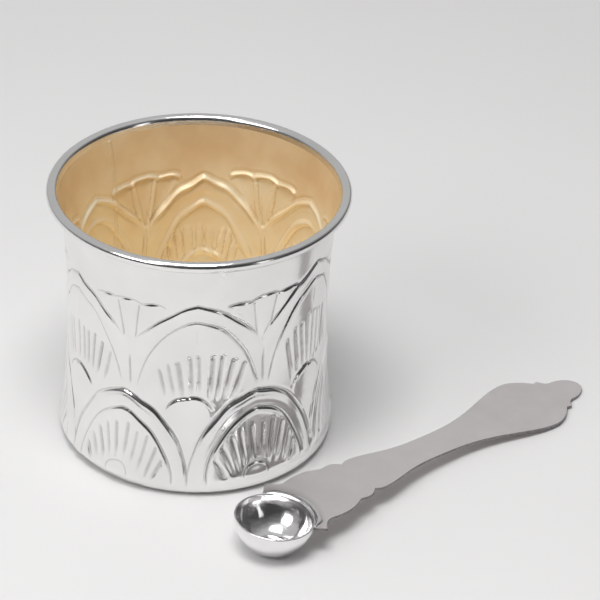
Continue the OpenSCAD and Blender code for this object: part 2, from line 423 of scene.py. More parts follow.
def bar_share(x, z, low, high, head):
    """Depth along a straight bar: it starts over the head's length and runs out slowly at the foot."""
    length = np.hypot(high[0] - low[0], high[1] - low[1])
    along = ((x - low[0]) * (high[0] - low[0]) + (z - low[1]) * (high[1] - low[1])) / length
    return rises(along, -PAST_FOOT, BAR_FOOT) * falls(along, length + PAST_HEAD, head)


def bar_cut(spot, bars, broad):
    """How deep a point is in a fan of round-ended bars, each set a little off by hand."""
    dice = np.random.RandomState(bars.seed)
    half_width = bars.half_width * broad**0.5
    cut = np.zeros(spot.x.shape)

    def off(most):
        return dice.uniform(-most, most, PETALS)[spot.which]

    for k in range(bars.count):
        angle = (k - (bars.count - 1) / 2) * bars.spacing
        lean = np.radians(angle + off(BAR_TURNS))
        start = bars.start - bars.start_fall * abs(angle) + off(BAR_STARTS)
        stop = bars.stop - bars.stop_fall * angle**2 + off(BAR_STOPS)
        strength = dice.uniform(BAR_WEAKEST, 1.0, PETALS)[spot.which]
        foot = (bars.centre[0] + start * np.sin(lean), bars.centre[1] + start * np.cos(lean))
        head = (bars.centre[0] + stop * np.sin(lean), bars.centre[1] + stop * np.cos(lean))
        head_length = (BAR_HEAD - HEAD_FALL * angle) * half_width
        shape = dent(bar_distance(spot.x, spot.z, foot, head), half_width)
        shape = shape * bar_share(spot.x, spot.z, foot, head, head_length)
        cut = np.maximum(cut, strength * shape)
    return cut


class Chasing:
    """Height over the plain wall and depth in the grooves, built up line by line."""

    def __init__(self, shape, broad):
        self.height = np.zeros(shape)
        self.groove = np.zeros(shape)
        self.broad = broad

    def swell(self, distance, rise):
        """Raises what lies inside an outline."""
        self.height += rise.height * smooth(-distance / rise.over)

    def line(self, distance, line, share):
        """A chased line: a groove with a low burr along each side. It broadens inwards on the back."""
        distance = distance + BACK_SHIFT * line.half_width * (self.broad - 1)
        half_width = line.half_width * self.broad
        burr = dent(np.abs(distance) - BURR_AT * half_width, BURR_HALF * half_width)
        cut = dent(distance, half_width)
        self.height += line.depth * share * (BURR_RISE * burr - cut)
        self.groove = np.maximum(self.groove, cut * np.sqrt(share))

    def press(self, cut, depth, share=1.0):
        self.height -= depth * share * cut
        self.groove = np.maximum(self.groove, PRESS_DARK * cut * share)

    def over(self, other, cover):
        """This tier, with another laid over it."""
        self.height = self.height * (1 - cover) + other.height * cover
        self.groove = self.groove * (1 - cover) + other.groove * cover


def pressure(turn, z):
    """How hard the hand pressed, round the cup."""
    front_left = within(turn, *FRONT_LEFT)
    bold = 1 + BOLDER * within(turn, *RIGHT)
    worn = 1 - WORN * within(turn, *FAR_RIGHT)
    press = PRESS + PRESS_VARIES * unevenness(turn, z, SEED + 3, PRESS_WAVES)
    press = (press + PRESS_TO_RIGHT * np.sin(np.radians(turn))) * worn
    return Hand(press, press * bold * (1 - LIGHTER * front_left), worn, bold, front_left)


def low_spot(turn, z):
    """A point's place in its lower petal."""
    which, share, half = petal_place(turn, LOW_CENTRES)
    half_mm = half * LOW_R
    return Spot(which, share, half_mm, share * half_mm, z - np.array(LOW_LIFTS)[which])


def mid_spot(turn, z):
    """A point's place in its middle petal."""
    which, share, half = petal_place(turn, MID_CENTRES)
    half_mm = half * MID_R
    lift = np.array(MID_LIFTS)[which] * rises(z, *MID_LIFTS_FROM)
    return Spot(which, share, half_mm, share * half_mm, z - lift)


def mid_outline(spot):
    """Signed distance from the middle petals' wavy outline, negative below it."""
    side = np.abs(spot.share)
    line = MID_APEX - MID_SLOPE * side - MID_CURVE * side**2
    slope = (MID_SLOPE + 2 * MID_CURVE * side) / spot.half
    return (spot.z - line) / np.sqrt(1 + slope**2)


def lower_petals(spot, outer, hand, press, band_way, broad):
    """Lower petals: a band round a field of bars, with a small moon at its foot."""
    inner = arch_distance(spot, LOW_IN)
    moon = np.hypot(spot.x - LOW_MOON.x, spot.z - LOW_MOON.z) - LOW_MOON.r
    bars_share = hand.worn * rises(-inner, *LOW_BARS_IN) * rises(moon, *LOW_BARS_OFF_MOON)
    tier = Chasing(spot.z.shape, broad)
    tier.swell(outer, LOW_PETAL_RISE)
    tier.height += LOW_BAND_RISE * band_way * band_hump(inner, outer)
    tier.swell(inner, LOW_FIELD_RISE)
    tier.line(inner, LOW_IN_LINE, press)
    tier.press(bar_cut(spot, LOW_BARS, broad), LOW_BARS.depth, bars_share)
    tier.swell(moon, LOW_MOON_RISE)
    tier.line(moon, LOW_MOON_LINE, (1 - MOON_LIGHTER * hand.front_left) * rises(spot.z, *LOW_MOON_FROM))
    return tier


def half_moon(turn, spot):
    """Distance from the half-moons between the lower petals, and how far their line is drawn."""
    around = np.abs((turn + 180) % 360 - 180)
    z = spot.z - BACK_MOON_LIFT * rises(around, *BACK_MOON_FROM)
    joint_x = (1 - np.abs(spot.share)) * spot.half
    return np.hypot(joint_x - MOON.x, z - MOON.z) - MOON.r, rises(z, *MOON_LINE_FROM)


def middle_petals(spot, outer, moon, moon_press, hand, band_way, broad):
    """Middle petals: a band round a field of bars, and the half-moons laid over their feet."""
    arch = Arch(np.array(MID_REACHES)[spot.which], MID_SPRING, np.array(MID_RISES)[spot.which],
                MID_POWER, MID_POINT)
    inner = arch_distance(spot, arch)
    to_joint = (1 - np.abs(spot.share)) * spot.half
    in_moon = smooth(-moon)
    band_rise = MID_BAND_RISE * band_way * rises(spot.z, *MID_BAND_FROM)
    bars_share = hand.bold * hand.worn * rises(-inner, *MID_BARS_IN)
    tier = Chasing(spot.z.shape, broad)
    tier.swell(outer, MID_PETAL_RISE)
    tier.height += band_rise * band_hump(inner, outer)
    tier.swell(inner, MID_FIELD_RISE)
    tier.line(inner, MID_IN_LINE, hand.light * rises(spot.z, *MID_IN_FROM))
    tier.press(bar_cut(spot, MID_BARS, broad), MID_BARS.depth, bars_share)
    tier.press(dent(to_joint, MID_CREASE.half_width), MID_CREASE.depth, within(spot.z, *MID_CREASE_SPAN))
    tier.press(dent(spot.x + MID_MARK_LEFT, MID_MARK.half_width), MID_MARK.depth,
               MID_MARK_SHARE * within(spot.z, *MID_MARK_SPAN))
    tier.height = tier.height * (1 - MOON_FLAT * in_moon) + MOON_RISE * in_moon
    tier.line(moon, MOON_LINE, moon_press)
    return tier


def fans(spot, z, hand, broad):
    """Three-lobed fans between the middle petals, under all the rest."""
    x = (1 - np.abs(spot.share)) * spot.half * -np.sign(spot.share)
    lobes = [np.hypot(x - at, z - level + LOBE_R) - LOBE_R for at, level in FAN_LOBES]
    top = np.minimum.reduce(lobes)
    flute = np.abs(x) / (FAN_HALF[0] + FAN_HALF[1] * rises(z, *FAN_OPENS))
    inside = smooth(-top / FAN_EDGE) * falls(flute, *FAN_FLUTES)
    divide = np.minimum.reduce([bar_distance(x, z, low, high) for low, high in FAN_DIVIDES])
    tier = Chasing(z.shape, 1 + FAN_BROADENS * (broad - 1))
    tier.height += inside * FAN_RISE * (1 + np.cos(2 * math.pi * np.clip(flute, 0, 1.5)))
    tier.line(top, FAN_LINE, hand.light * rises(z, *FAN_LINE_FROM) * falls(np.abs(x), *FAN_LINE_SIDE))
    tier.press(dent(divide, FAN_DIVIDE.half_width * broad**0.5), FAN_DIVIDE.depth)
    return tier


def relief(turn, z, broad=1.0):
    """Height of the chasing over the plain wall, in millimetres, and how deep in a groove a point is.

    The sheet rounds the lines off, so that they are broader on its back, where the bands stand up too.
    """
    hand = pressure(turn, z)
    band_way = 1 - BAND_TURNS_OVER * (broad - 1)
    warp_x = WARP * unevenness(turn, z, SEED + 1, WARP_WAVES)
    warp_z = WARP * unevenness(turn, z, SEED + 2, WARP_WAVES)
    z = z - PATTERN_TILT * np.sin(np.radians(turn)) + warp_z
    turn = turn + np.degrees(warp_x / WAIST_R)
    low = low_spot(turn, z)
    mid = mid_spot(turn, z)
    low_out = arch_distance(low, LOW_OUT)
    mid_out = mid_outline(mid)
    low_press = hand.press * (1 - FLANK_LIGHTER * hand.front_left * falls(low.share, *LOW_FLANK))
    mid_press = hand.light * falls(np.abs(mid.share), *MID_OUT_SIDE)
    moon, moon_share = half_moon(turn, low)
    chased = fans(mid, z, hand, broad)
    middle = middle_petals(mid, mid_out, moon, hand.press * moon_share, hand, band_way, broad)
    lower = lower_petals(low, low_out, hand, low_press, band_way, broad)

    # The outlines are drawn on the fans' tier, and broaden as little as the fans on the back
    chased.over(middle, falls(mid_out, *TIER_LAP))
    chased.line(mid_out, MID_OUT_LINE, mid_press)
    chased.over(lower, falls(low_out, *TIER_LAP))
    chased.line(low_out, LOW_OUT_LINE, low_press)
    plain = rises(z, *PLAIN_BAND)
    dings = DINGS * unevenness(turn, z, SEED + 6, DING_WAVES)
    return chased.height * plain + dings, chased.groove * plain


def wall_r(z):
    """Outside of the plain wall: it widens from the waist to the foot and to the rim."""
    down = np.clip(WAIST_HEIGHT - z, 0, None) / (WAIST_HEIGHT - FOOT_ROUND)
    up = np.clip(z - WAIST_HEIGHT, 0, None) / (ROLL_Z - WAIST_HEIGHT)
    flare = ROLL_CENTRE_R - WIRE_R - WAIST_R
    return WAIST_R + (FOOT_R - WAIST_R) * down**FOOT_POWER + flare * up**FLARE_POWER


def inside_r(z):
    """Plain inside of the wall, which is a little thicker low down."""
    return wall_r(z) - WALL_SHEET - LOW_EXTRA * falls(z, *LOW_EXTRA_BELOW)


def wall_share(z):
    """Share of the chasing left at a height: none at the foot and under the rim."""
    return within(z, *CHASED_SPAN)


def back_relief(turn, z):
    """The chasing from inside: broader and deeper, but always with some sheet left to the outside."""
    pushed = BACK_DEPTH * relief(turn, z, BACK_BREADTH)[0]
    return np.minimum(pushed, relief(turn, z)[0] + WALL_SHEET - LEAST_SHEET)


def round_place(turn, r, z):
    """Point at a turn from the front, towards the right."""
    angle = np.radians(turn)
    return np.stack(np.broadcast_arrays(r * np.sin(angle), -r * np.cos(angle), z), -1)


def arc(centre, radius, start, stop, steps):
    angles = np.radians(np.linspace(start, stop, steps))
    return np.stack([centre[0] + radius * np.cos(angles), centre[1] + radius * np.sin(angles)], -1)


def new_piece(name, points, faces, body, nodes, materials, place=None):
    """Smooth mesh piece from points in millimetres, riding on its body."""
    mesh = bpy.data.meshes.new(name)
    mesh.from_pydata((np.asarray(points, float).reshape(-1, 3) * MM).tolist(), [], faces)
    bm = bmesh.new()
    bm.from_mesh(mesh)
    bmesh.ops.recalc_face_normals(bm, faces=bm.faces)
    for face in bm.faces:
        face.smooth = True
    bm.to_mesh(mesh)
    bm.free()
    for material in materials:
        mesh.materials.append(material)
    piece = bpy.data.objects.new(name, mesh)
    bpy.context.scene.collection.objects.link(piece)
    if place is not None:
        mesh.transform(place)
    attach(piece, body)
    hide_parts(*nodes)
    return piece


def band_faces(rows, columns, closed_rows=False):
    """Quads of a grid whose columns run round in a ring."""
    faces = []
    for i in range(rows if closed_rows else rows - 1):
        a = i * columns
        b = (i + 1) % rows * columns
        for j in range(columns):
            k = (j + 1) % columns
            faces.append((a + j, a + k, b + k, b + j))
    return faces


def capped_faces(rows, columns):
    """Quads of a row of rings, and a face over each of its two ends."""
    last = (rows - 1) * columns
    return band_faces(rows, columns) + [tuple(range(columns)), tuple(range(last, last + columns))]


def turned(name, line, columns, body, nodes, materials, lump, place=None):
    """Closed piece turned from a line of (radius, height) points, uneven by a lump.

    The line starts and ends on the axis, or else it closes on itself.
    """
    turn = np.linspace(-180, 180, columns, endpoint=False)[None, :]
    line = np.asarray(line, float)
    on_axis = line[0, 0] == 0
    ring = line[1:-1] if on_axis else line
    r = ring[:, 0][:, None]
    turn, z = np.broadcast_arrays(turn, ring[:, 1][:, None])
    points = round_place(turn, r, z + lump(turn, r, z)).reshape(-1, 3)
    faces = band_faces(len(ring), columns, closed_rows=not on_axis)
    if on_axis:
        axis = len(points)
        points = np.concatenate([points, [[0, 0, line[0, 1]], [0, 0, line[-1, 1]]]])
        last = (len(ring) - 1) * columns
        for j in range(columns):
            k = (j + 1) % columns
            faces.append((axis, k, j))
            faces.append((axis + 1, last + j, last + k))
    return new_piece(name, points, faces, body, nodes, materials, place)


def store_tarnish_and_shade(piece, values):
    """How dark each point is painted, for the materials: tarnish and painted shade in the wall's grooves
    and hollows, dull solder on the joints.
    """
    layer = piece.data.attributes.new("tarnish_and_shade", "FLOAT", "POINT")
    values = np.broadcast_to(np.asarray(values, np.float32).ravel(), len(piece.data.vertices))
    layer.data.foreach_set("value", np.ascontiguousarray(values))


# Materials


def set_stops(node, stops):
    """Stops of a colour ramp."""
    elements = node.color_ramp.elements
    while len(elements) < len(stops):
        elements.new(0.5)
    for element, (at, colour) in zip(elements, stops):
        element.position = at
        element.color = (*colour, 1.0)


class Nodes:
    """A material's nodes, made and linked by name."""

    def __init__(self, name):
        self.material = bpy.data.materials.new(name)
        self.material.use_nodes = True
        self.tree = self.material.node_tree
        self.shader = self.tree.nodes["Principled BSDF"]
        self.where = self.add("ShaderNodeTexCoord").outputs["Object"]

    def add(self, kind, **settings):
        node = self.tree.nodes.new(kind)
        for key, value in settings.items():
            setattr(node, key, value)
        return node

    def link(self, out, into):
        self.tree.links.new(out, into)

    def noise(self, scale, detail=4.0, stretch=None):
        node = self.add("ShaderNodeTexNoise")
        node.inputs["Scale"].default_value = scale
        node.inputs["Detail"].default_value = detail
        node.inputs["Roughness"].default_value = 0.55
        where = self.where
        if stretch is not None:
            mapping = self.add("ShaderNodeMapping")
            mapping.inputs["Scale"].default_value = stretch
            self.link(where, mapping.inputs["Vector"])
            where = mapping.outputs["Vector"]
        self.link(where, node.inputs["Vector"])
        return node.outputs["Fac"]

    def near(self, centre, reach):
        """1 at a point of the frame, falling to 0 a reach away."""
        mapping = self.add("ShaderNodeMapping")
        mapping.inputs["Location"].default_value = [-value / reach for value in centre]
        mapping.inputs["Scale"].default_value = (1 / reach, 1 / reach, 1 / reach)
        ball = self.add("ShaderNodeTexGradient", gradient_type="SPHERICAL")
        self.link(self.where, mapping.inputs["Vector"])
        self.link(mapping.outputs["Vector"], ball.inputs["Vector"])
        return ball.outputs["Fac"]

    def height(self):
        """Height over the table, in metres."""
        node = self.add("ShaderNodeSeparateXYZ")
        self.link(self.where, node.inputs["Vector"])
        return node.outputs["Z"]

    def tarnish_and_shade(self):
        return self.add("ShaderNodeAttribute", attribute_name="tarnish_and_shade").outputs["Fac"]

    def ramp(self, source, stops):
        node = self.add("ShaderNodeValToRGB")
        set_stops(node, stops)
        self.link(source, node.inputs["Fac"])
        return node.outputs["Color"]

    def tones(self, scale, dark, light, detail=4.0):
        """Clouds of two tones."""
        return self.ramp(self.noise(scale, detail), ((0.3, dark), (0.7, light)))

    def spread(self, source, low, high, start=0.3, stop=0.7):
        node = self.add("ShaderNodeMapRange")
        node.inputs["From Min"].default_value = start
        node.inputs["From Max"].default_value = stop
        node.inputs["To Min"].default_value = low
        node.inputs["To Max"].default_value = high
        self.link(source, node.inputs["Value"])
        return node.outputs["Result"]

    def mix(self, share, first, second):
        node = self.add("ShaderNodeMix", data_type="RGBA")
        self.link(share, node.inputs["Factor"])
        self.link(first, node.inputs["A"])
        self.link(second, node.inputs["B"])
        return node.outputs["Result"]

    def bump(self, source, strength, distance, normal=None):
        node = self.add("ShaderNodeBump")
        node.inputs["Strength"].default_value = strength
        node.inputs["Distance"].default_value = distance
        self.link(source, node.inputs["Height"])
        if normal is not None:
            self.link(normal, node.inputs["Normal"])
        return node.outputs["Normal"]

    def finish(self, colour, roughness, normal=None, metallic=1.0, gloss=0.5):
        self.shader.inputs["Metallic"].default_value = metallic
        self.shader.inputs["Specular IOR Level"].default_value = gloss
        self.link(colour, self.shader.inputs["Base Color"])
        self.link(roughness, self.shader.inputs["Roughness"])
        if normal is not None:
            self.link(normal, self.shader.inputs["Normal"])
        return self.material


def silver_chased():
    n = Nodes("silver_chased")
    bright = n.tones(60.0, (0.83, 0.825, 0.82), (0.9, 0.895, 0.89))
    tarnish_and_shade_tone = n.tones(900.0, (0.3, 0.29, 0.28), (0.5, 0.49, 0.48))
    # Grooves are painted darker: partly tarnish in the chased lines, partly painted shade and reflection in
    # them.
    colour = n.mix(n.spread(n.tarnish_and_shade(), 0.0, 0.85, 0.2, 0.9), bright, tarnish_and_shade_tone)
    rough = n.spread(n.noise(220.0), 0.13, 0.2)
    fine = n.bump(n.noise(1800.0, 2.0), 0.05, 0.0002)
    return n.finish(colour, rough, n.bump(n.noise(260.0, 2.0), 0.06, 0.001, fine))


def gilt():
    """Satin gilding, painted deeper in tone at the neck and paler over the beaten wall below it, as painted
    light and shade.
    """
    n = Nodes("gilt_satin")
    cloud = n.noise(70.0, 3.0)
    pale_stops = ((0.34, (0.97, 0.8, 0.55)), (0.5, (1.0, 0.88, 0.64)), (0.7, (1.0, 0.93, 0.73)))
    deep_stops = ((0.35, (0.83, 0.61, 0.36)), (0.5, (0.88, 0.68, 0.42)), (0.72, (0.94, 0.77, 0.52)))
    # Painted light and shade: the gilding is paler lower in the cup, where less light reaches, and deeper
    # at the neck.
    neck = n.spread(n.height(), 0.0, 1.0, *GILT_DEEPENS)
    tone = n.mix(neck, n.ramp(cloud, pale_stops), n.ramp(cloud, deep_stops))
    # Darker tone: painted shade in the hollows of the inside, and dull solder on the seam and the base
    # fillet.
    tarnish_and_shade_tone = n.tones(700.0, (0.5, 0.33, 0.15), (0.6, 0.42, 0.2))
    colour = n.mix(n.spread(n.tarnish_and_shade(), 0.0, 0.4, 0.2, 1.0), tone, tarnish_and_shade_tone)
    rough = n.spread(n.noise(160.0), 0.42, 0.5)
    grain = n.bump(n.noise(1500.0, 2.0), 0.04, 0.0002)
    return n.finish(colour, rough, grain, metallic=0.42, gloss=0.15)


def plate_silver():
    n = Nodes("silver_matt")
    clean = n.tones(90.0, (0.8, 0.765, 0.758), (0.85, 0.812, 0.805), 6.0)
    dark = n.tones(200.0, (0.3, 0.28, 0.27), (0.42, 0.4, 0.39))
    # Painted shade: the plate darkens near the bowl and towards the cup, where shade and the cup's dark
    # reflection fall.
    painted_shade = n.spread(n.near(PAINTED_SHADE_CENTRE, PAINTED_SHADE_REACH), 0.0, 0.6, 0.08, 0.36)
    rough = n.spread(n.noise(400.0), 0.48, 0.56)
    brushed = n.noise(500.0, 3.0, stretch=(0.15, 1.0, 1.0))
    return n.finish(n.mix(painted_shade, clean, dark), rough, n.bump(brushed, 0.05, 0.0002))


def shaded_cut_edge():
    n = Nodes("silver_cut_edge")
    # The cut edges are painted dark, as painted shade along the plate's edge.
    tone = n.tones(900.0, (0.2, 0.19, 0.19), (0.34, 0.33, 0.33))
    return n.finish(tone, n.spread(n.noise(700.0), 0.4, 0.55))


def bowl_silver():
    n = Nodes("silver_polished")
    tone = n.tones(150.0, (0.86, 0.85, 0.85), (0.92, 0.91, 0.91))
    rough = n.spread(n.noise(300.0), 0.13, 0.2)
    return n.finish(tone, rough, n.bump(n.noise(260.0, 2.0), 0.3, 0.0006))


def solder_silver():
    n = Nodes("silver_solder")
    tone = n.tones(300.0, (0.8, 0.79, 0.79), (0.89, 0.88, 0.88))
    rough = n.spread(n.noise(600.0), 0.14, 0.24)
    return n.finish(tone, rough, n.bump(n.noise(800.0, 2.0), 0.06, 0.0004))


def wire_brass():
    n = Nodes("wire_brass")
    tone = n.tones(200.0, (0.64, 0.5, 0.28), (0.74, 0.6, 0.36))
    return n.finish(tone, n.spread(n.noise(500.0), 0.25, 0.4))


def floor_paper():
    n = Nodes("floor_paper")
    tone = n.tones(8.0, (0.85, 0.845, 0.84), (0.87, 0.865, 0.86), 2.0)
    return n.finish(tone, n.spread(n.noise(30.0), 0.85, 0.95), metallic=0.0)


SILVER = silver_chased()
GILT = gilt()

# The cup's pieces


def hollows(back, line):
    """How hollow the inside is at each point, from how its height bends; the gilding is painted darker
    there as painted shade.
    """
    step_turn = 2 * math.pi * WAIST_R / COLUMNS
    step_z = np.gradient(line[:, 1])[:, None]
    bend = (np.roll(back, 1, 1) + np.roll(back, -1, 1) - 2 * back) / step_turn**2
    bend[1:-1] += (back[2:] + back[:-2] - 2 * back[1:-1]) / step_z[1:-1] ** 2
    return np.clip(-bend / HOLLOW_FULL, 0, 1)


def cup_shell():
    """The wall: one closed shell, chased outside and with the same chasing in reverse inside."""
    wall_z = np.concatenate([
        np.linspace(FOOT_ROUND, PATTERN_TOP, CHASED_ROWS),
        np.linspace(PATTERN_TOP, NECK_TOP, NECK_ROWS)[1:],
    ])
    inside_z = np.concatenate([
        np.linspace(INSIDE_TOP, PATTERN_TOP, INSIDE_NECK_ROWS)[:-1],
        np.linspace(PATTERN_TOP, WAIST_HEIGHT, INSIDE_UPPER_ROWS)[:-1],
        np.linspace(WAIST_HEIGHT, FOOT_ROUND, INSIDE_LOWER_ROWS),
    ])
    outside = np.concatenate([
        arc((JOINT_R, FOOT_ROUND), FOOT_ROUND, -90, 0, FOOT_ROWS)[:-1],
        np.stack([wall_r(wall_z), wall_z], -1),
        arc((ROLL_CENTRE_R, ROLL_Z), ROLL_R, ROLL_FROM, ROLL_TO, ROLL_ROWS),
    ])
    inner_round = FOOT_ROUND - WALL_SHEET - LOW_EXTRA
    inside = np.concatenate([
        np.stack([inside_r(inside_z), inside_z], -1),
        arc((JOINT_R, FOOT_ROUND), inner_round, 0, -90, INSIDE_FOOT_ROWS)[1:],
    ])
    line = np.concatenate([outside, inside])
    first_in = len(outside)
    turn = np.linspace(-180, 180, COLUMNS, endpoint=False)[None, :]
    turn, z = np.broadcast_arrays(turn, line[:, 1][:, None])
    height, groove = relief(turn, z)
    height[first_in:] = back_relief(turn[first_in:], z[first_in:])
    # Inside, the gilding is painted darker in the hollows of the relief, as painted shade.
    groove[first_in:] = hollows(height[first_in:], inside)
    points = round_place(turn, line[:, 0][:, None] + height * wall_share(z), z)
    faces = band_faces(len(line), COLUMNS, closed_rows=True)
    shell = new_piece("cup_shell", points, faces, "cup", ["cup_wall"], [SILVER, GILT])
    gilt_rows = np.zeros(len(line), np.int32)
    gilt_rows[first_in:-1] = 1
    shell.data.polygons.foreach_set("material_index", np.repeat(gilt_rows, COLUMNS))
    store_tarnish_and_shade(shell, groove * wall_share(z))


def seam_run():
    """Solder run over the wall's seam: a low rounded strip of uneven width."""
    z = np.linspace(FOOT_ROUND, NECK_TOP, SEAM_ROWS)[:, None]
    across = np.linspace(-1, 1, SEAM_ACROSS)[None, :]
    varies = SEAM_VARIES * np.sin(z * SEAM_WAVES[0]) * np.sin(z * SEAM_WAVES[1] + 1)
    half = SEAM_WIDTH / 2 * (1 + varies)
    turn = SEAM_TURN + np.degrees(across * half / inside_r(z))
    turn, z = np.broadcast_arrays(turn, z)
    wall = inside_r(z) + back_relief(turn, z) * wall_share(z)
    front = round_place(turn, wall - SEAM_RISE * (1 - across**2) - SEAM_LEAST, z)
    back = round_place(turn, wall + LEAST_SHEET / 2, z)
    rings = np.concatenate([front, back[:, ::-1]], 1)
    faces = capped_faces(*rings.shape[:2])
    seam = new_piece("seam_run", rings, faces, "cup", ["wall_seam"], [GILT])
    store_tarnish_and_shade(seam, SEAM_DULL)


def cup_base():
    """Base disc: gilt above, silver below, with faint rings of the lathe."""
    line = [(0.0, BASE_SHEET + BASE_DOME)]
    for step in range(1, BASE_TOP_STEPS + 1):
        r = (JOINT_R - BASE_GAP) * step / BASE_TOP_STEPS
        dome = BASE_DOME * (1 - (r / JOINT_R) ** 2)
        line.append((r, BASE_SHEET + dome + LATHE_RINGS * math.sin(r * LATHE_WAVE)))
    line.append((JOINT_R - BASE_GAP, BASE_GAP))
    for step in range(BASE_BOTTOM_STEPS, 0, -1):
        r = (JOINT_R - BASE_CHAMFER) * step / BASE_BOTTOM_STEPS
        line.append((r, BASE_HOLLOW * falls(r, *BASE_HOLLOW_WITHIN)))
    line.append((0.0, BASE_HOLLOW))

    def lump(turn, r, z):
        uneven = unevenness(turn, r, SEED + 8, BASE_WAVES)
        return BASE_LUMPS * uneven * smooth(r / BASE_LUMPS_FROM) * (z > BASE_SHEET / 2)

    base = turned("cup_base", line, BASE_COLUMNS, "cup", ["base_disc"], [GILT, SILVER], lump)
    for face in base.data.polygons:
        face.material_index = 0 if face.center.z > GILT_ABOVE * MM else 1
    store_tarnish_and_shade(base, 0.0)


def base_fillet():
    """Solder round the base joint: a hollow fillet with an uneven edge."""
    wall_round = FOOT_ROUND - WALL_SHEET
    climb = math.radians(BASE_FILLET_CLIMB)
    top = (JOINT_R + wall_round * math.sin(climb), FOOT_ROUND - wall_round * math.cos(climb))
    foot = (JOINT_R - BASE_FILLET_WIDTH, BASE_SHEET - BASE_FILLET_SINK)
    line = []
    for step in range(BASE_FILLET_STEPS + 1):
        u = step / BASE_FILLET_STEPS
        sag = BASE_FILLET_SAG * math.sin(math.pi * u)
        r = foot[0] + (top[0] - foot[0]) * u + BASE_FILLET_SAG_OUT * sag
        line.append((r, foot[1] + (top[1] - foot[1]) * u - sag))
    behind = arc((JOINT_R, FOOT_ROUND), wall_round + BASE_FILLET_BACK, BASE_FILLET_CLIMB - 90, -90,
                 BASE_FILLET_STEPS + 1)
    line += behind[1:-1].tolist()
    line.append((JOINT_R, BASE_SHEET - BASE_FILLET_BACK))

    def lump(turn, r, z):
        return BASE_FILLET_LUMPS * unevenness(turn, r, SEED + 9, BASE_FILLET_WAVES)

    fillet = turned("base_fillet", line, BASE_FILLET_COLUMNS, "cup", ["base_solder"], [GILT], lump)
    store_tarnish_and_shade(fillet, BASE_FILLET_DULL)


cup_shell()
seam_run()
cup_base()
base_fillet()
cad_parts["rim_wire"].data.materials.clear()
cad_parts["rim_wire"].data.materials.append(wire_brass())

# The spoon's pieces: it leans, and its tip drops until bowl and tip both touch the table


def bowl_low(pitch):
    """How far the bowl's flat reaches below its centre."""
    tilt = math.hypot(math.sin(pitch), math.sin(SPOON_LEAN) * math.cos(pitch))
    return BOWL_FLAT_R * tilt + (BOWL_HEIGHT - BOWL_RIM_RISE) * math.cos(SPOON_LEAN) * math.cos(pitch)


def tip_low(pitch):
    """How far the handle's tip reaches below the bowl's centre."""
    tilt = math.hypot(TIP_LENGTH * math.sin(pitch), TIP[1] * math.sin(SPOON_LEAN) * math.cos(pitch))
    plate = (PLATE_SHEET * math.cos(SPOON_LEAN) - BOWL_OFFSET * math.sin(SPOON_LEAN)) * math.cos(pitch)
    return TIP[0] * math.sin(pitch) + tilt + plate


spoon_pitch = halved(lambda pitch: tip_low(pitch) < bowl_low(pitch), 0.0, MOST_PITCH)
spoon_place = (
    Matrix.Translation(Vector((SPOON_RIGHT, -SPOON_FRONT, bowl_low(spoon_pitch))) * MM)
    @ Euler((SPOON_LEAN, spoon_pitch, math.radians(SPOON_TURN)), "XYZ").to_matrix().to_4x4()
)


def bowl_round(flat_r, side_r, height):
    """Points up the bowl's round, from its flat to its straight side."""
    points = []
    for step in range(BOWL_STEPS + 1):
        a = math.pi / 2 * step / BOWL_STEPS
        r = flat_r + (side_r - flat_r) * math.sin(a) ** (2 / BOWL_POWER)
        drop = height * max(0.0, math.cos(a)) ** (2 / BOWL_POWER)
        points.append((r, BOWL_RIM_RISE - BOWL_STRAIGHT - drop))
    return points


def ladle_bowl():
    """Spun bowl with a rounded lip, a flat bottom and the lathe's centre mark."""
    bottom = BOWL_RIM_RISE - BOWL_HEIGHT
    depth = BOWL_HEIGHT - BOWL_STRAIGHT
    lip_r = BOWL_SHEET / 2
    inner_side = BOWL_R - BOWL_SHEET
    floor_z = bottom + BOWL_SHEET
    straight = []
    for k in range(1, STRAIGHT_STEPS):
        straight.append(BOWL_RIM_RISE - BOWL_STRAIGHT + (BOWL_STRAIGHT - lip_r) * k / STRAIGHT_STEPS)
    line = [(BOWL_FLAT_R * k / STRAIGHT_STEPS, bottom) for k in range(STRAIGHT_STEPS)]
    line += bowl_round(BOWL_FLAT_R, BOWL_R, depth)
    line += [(BOWL_R, z) for z in straight]
    line += arc((BOWL_R - lip_r, BOWL_RIM_RISE - lip_r), lip_r, 0, 180, LIP_POINTS).tolist()
    line += [(inner_side, z) for z in straight[::-1]]
    line += bowl_round(INNER_FLAT_R, inner_side, depth - BOWL_SHEET)[::-1]
    for r in FLOOR_RINGS:
        ring = LATHE_RING.depth * dent(r - LATHE_RING_R, LATHE_RING.half_width)
        line.append((r, floor_z - ring - LATHE_CENTRE.depth * dent(r, LATHE_CENTRE.half_width)))

    def lump(turn, r, z):
        return BOWL_LUMPS * unevenness(turn, r + z, SEED + 10, BOWL_WAVES)

    turned("ladle_bowl", line, BOWL_COLUMNS, "spoon", ["spoon_bowl"], [bowl_silver()], lump,
           spoon_place)


def run_between(start, stop, shape, steps=CURVE_STEPS):
    """Points from a corner until just before the next. A shape gives the share of the change in width."""
    points = []
    for i in range(steps):
        u = i / steps
        points.append((start[0] + (stop[0] - start[0]) * u, start[1] + (stop[1] - start[1]) * shape(u)))
    return points


def settle(start, stop):
    return run_between(start, stop, lambda u: 1 - (1 - u) ** HORN_POWER)


def taper(narrow, wide):
    return run_between(narrow, wide, lambda u: float(smooth(u**TAPER_POWER)), 2 * CURVE_STEPS)


def hump(start, stop, crest_half):
    crest = start[0] + (stop[0] - start[0]) * CREST_SHARE
    points = []
    for i in range(CURVE_STEPS):
        s = start[0] + (stop[0] - start[0]) * i / CURVE_STEPS
        side = start if s < crest else stop
        u = (s - crest) / (side[0] - crest)
        points.append((s, crest_half - (crest_half - side[1]) * u * u))
    return points


